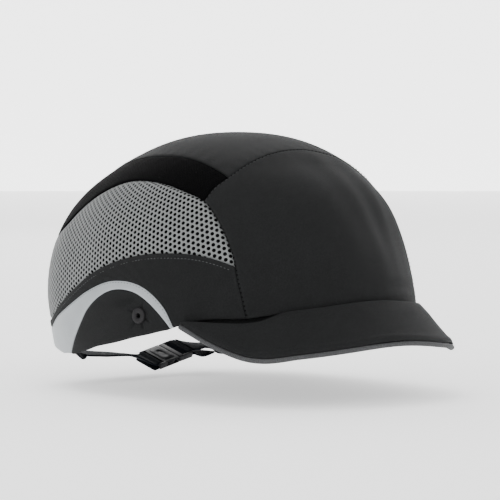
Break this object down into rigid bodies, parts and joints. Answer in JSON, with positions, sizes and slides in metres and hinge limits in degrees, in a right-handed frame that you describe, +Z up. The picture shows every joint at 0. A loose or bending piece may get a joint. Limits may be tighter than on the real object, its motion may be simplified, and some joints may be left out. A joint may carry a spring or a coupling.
{
  "type": "bump cap",
  "caption": "Short-peaked fabric bump cap with mesh sides, a reflective crescent over each ear, a hard padded shell inside, and a rear arch with a clipped nape strap.",
  "frame": {"origin": "bottom centre of the whole cap's box, on the surface that it stands on", "axes": "the peak points to -Y, the wearer's left is +X, +Z is up"},
  "size_m": [0.168, 0.2317, 0.1299],
  "materials": {
    "fabric": "tight plain weave, matt black",
    "black_mesh": "open knitted mesh, black",
    "grey_mesh": "open knitted mesh, light grey",
    "reflective": "retroreflective silver tape",
    "piping": "grey woven tape over cord",
    "webbing": "flat woven webbing, dark navy",
    "buckle": "moulded acetal, fine grain",
    "eyelet": "dark grey, satin",
    "shell": "moulded polyethylene, satin",
    "foam": "closed-cell foam",
    "board": "plain sheet",
    "hook_and_loop": "hook and loop tape"
  },
  "bodies": {
    "shell": {"inner_shell": "shell", "crown_pad": "foam", "front_pad": "foam", "rear_pad": "foam", "side_pad_left": "foam", "side_pad_right": "foam", "hook_patch_front": "hook_and_loop", "hook_patch_rear": "hook_and_loop"},
    "cap": {"front_panel": "fabric", "crown_panel": "fabric", "side_panel_left": "fabric", "side_panel_right": "fabric", "ear_panel_left": "fabric", "ear_panel_right": "fabric", "sweatband": "fabric", "arch_binding": "fabric", "peak_top_cover": "fabric", "peak_under_cover": "fabric", "upper_mesh_left": "black_mesh", "upper_mesh_right": "black_mesh", "rear_mesh_left": "grey_mesh", "rear_mesh_right": "grey_mesh", "reflective_band_left": "reflective", "reflective_band_right": "reflective", "peak_piping": "piping", "strap_right": "webbing", "strap_left_run": "webbing", "buckle_female": "buckle", "eyelet_left": "eyelet", "eyelet_right": "eyelet", "eyelet_washer_left": "eyelet", "eyelet_washer_right": "eyelet", "peak_board": "board", "loop_patch_front": "hook_and_loop", "loop_patch_rear": "hook_and_loop"},
    "clip": {"buckle_male": "buckle", "strap_left_tail": "webbing"},
    "arm_front": {"release_arm_front": "buckle"},
    "arm_rear": {"release_arm_rear": "buckle"}
  },
  "joints": [
    {"name": "cap_lift", "type": "slide", "parent": "shell", "child": "cap", "axis": [0, 0.3007, 0.9537], "range_m": [0, 0.12]},
    {"name": "clip_slide", "type": "slide", "parent": "cap", "child": "clip", "axis": [0.9703, 0, 0.2419], "range_m": [0, 0.011], "deforming": ["strap_left_run"]},
    {"name": "arm_front_squeeze", "type": "hinge", "parent": "clip", "child": "arm_front", "pos_m": [0.01808, 0.07853, 0.00857], "axis": [0.2295, 0.3169, -0.9203], "range_deg": [0, 9], "stiffness_Nm_per_rad": 0.02},
    {"name": "arm_rear_squeeze", "type": "hinge", "parent": "clip", "child": "arm_rear", "pos_m": [0.01698, 0.09219, 0.01299], "axis": [-0.2295, -0.3169, 0.9203], "range_deg": [0, 9], "stiffness_Nm_per_rad": 0.02}
  ],
  "couplings": [
    {"joint": "arm_rear_squeeze", "follows": "arm_front_squeeze", "ratio": 1}
  ]
}
